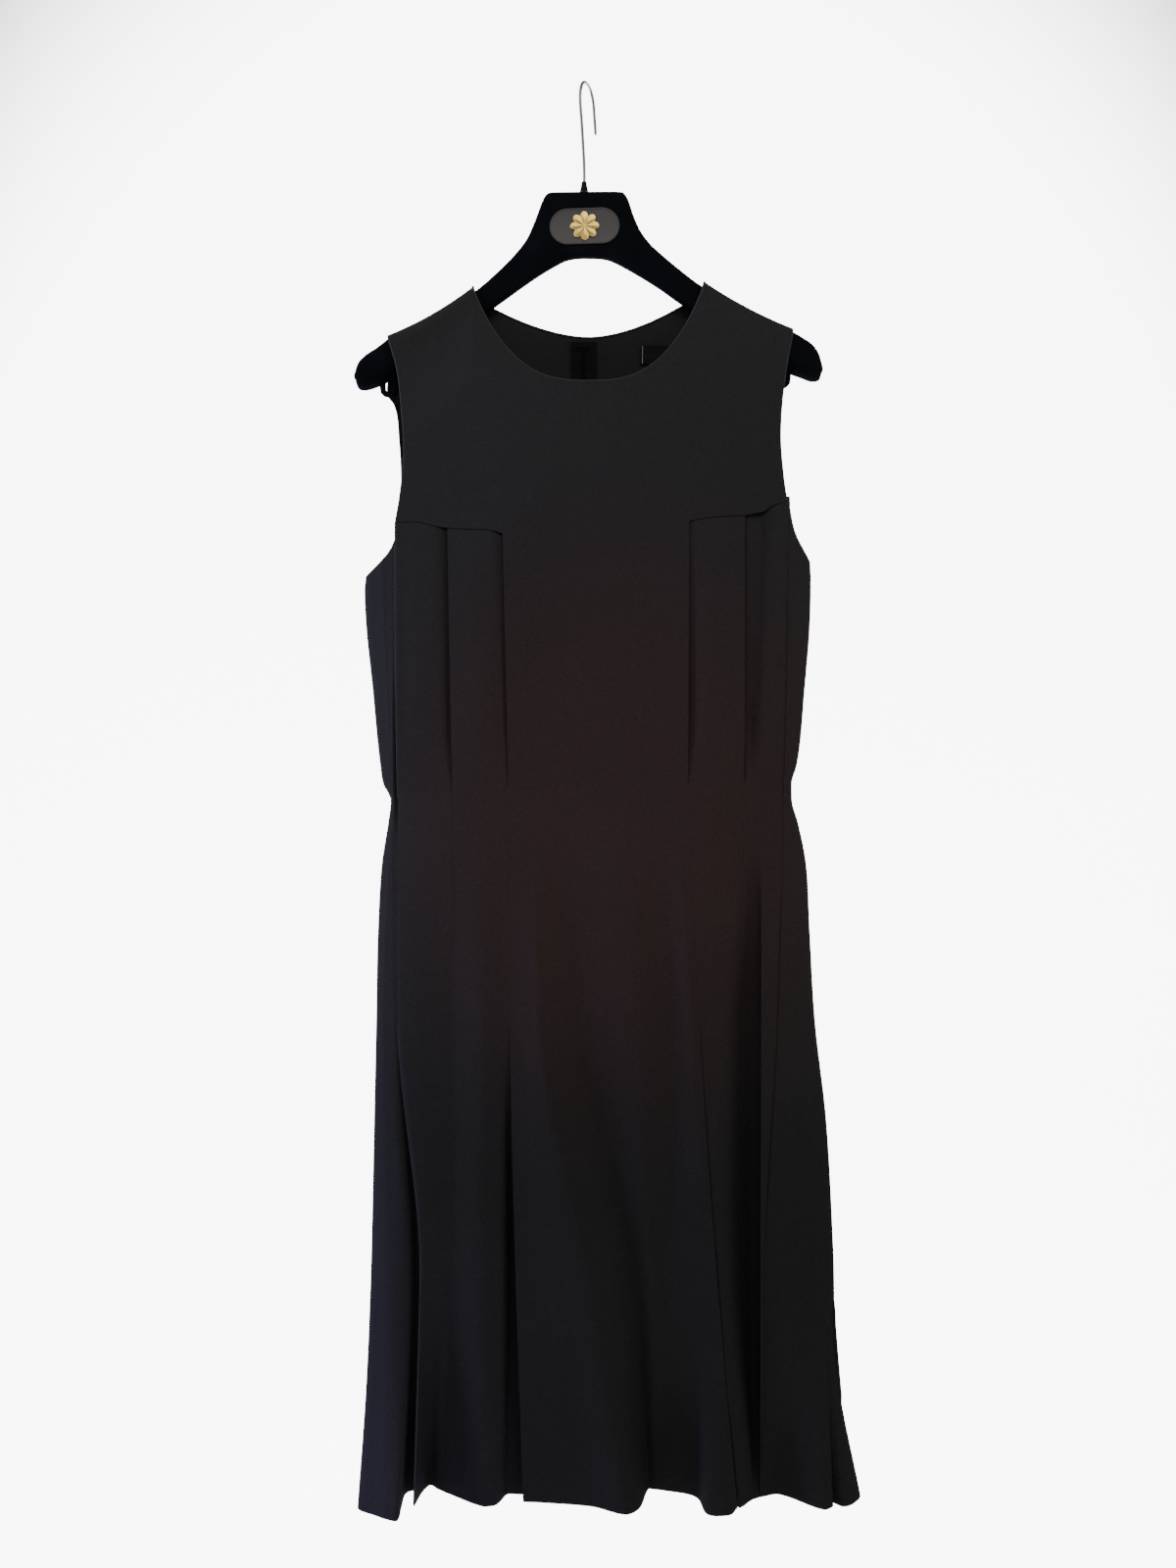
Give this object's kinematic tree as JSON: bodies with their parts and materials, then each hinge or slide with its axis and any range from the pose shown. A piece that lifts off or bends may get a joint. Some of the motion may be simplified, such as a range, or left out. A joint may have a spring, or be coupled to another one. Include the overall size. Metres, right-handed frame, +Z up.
{
  "type": "cocktail dress on hanger",
  "caption": "Sleeveless cocktail dress with a plain yoke, pleated bodice and gored flared skirt, zipped at the back and hung flat on a broad flocked hanger with a wire hook.",
  "frame": {"origin": "inside of the hook's crown, where the wire rests on the rail", "axes": "+Z up, -Y the way the dress's front faces, +X to the right of someone looking at the front"},
  "size_m": [0.4609, 0.0931, 1.292],
  "materials": {
    "crepe": "matte charcoal crepe",
    "zip_tape": "matte woven tape",
    "label": "matte woven label",
    "flock": "velvet flock over a moulded body",
    "steel": "satin nickel",
    "collar": "satin",
    "plate": "satin",
    "gold": "polished",
    "zip_metal": "satin black"
  },
  "bodies": {
    "dress_on_hanger": {"back_left": "crepe", "back_right": "crepe", "front_centre": "crepe", "front_middle_left": "crepe", "front_middle_right": "crepe", "front_side_left": "crepe", "front_side_right": "crepe", "hanger_body": "flock", "hanger_hook": "steel", "hanger_plate": "plate", "hanger_rosette": "gold", "hook_collar": "collar", "neck_label": "label", "strap_loop_left": "flock", "strap_loop_right": "flock", "zip_slider": "zip_metal", "zip_tape": "zip_tape"},
    "pull_tab": {"zip_pull": "zip_metal"}
  },
  "joints": [
    {"name": "pull_tab_hinge", "type": "hinge", "parent": "dress_on_hanger", "child": "pull_tab", "pos_m": [-0.003, 0.02065, -0.23584], "axis": [1, 0, 0], "range_deg": [0, 150]}
  ]
}
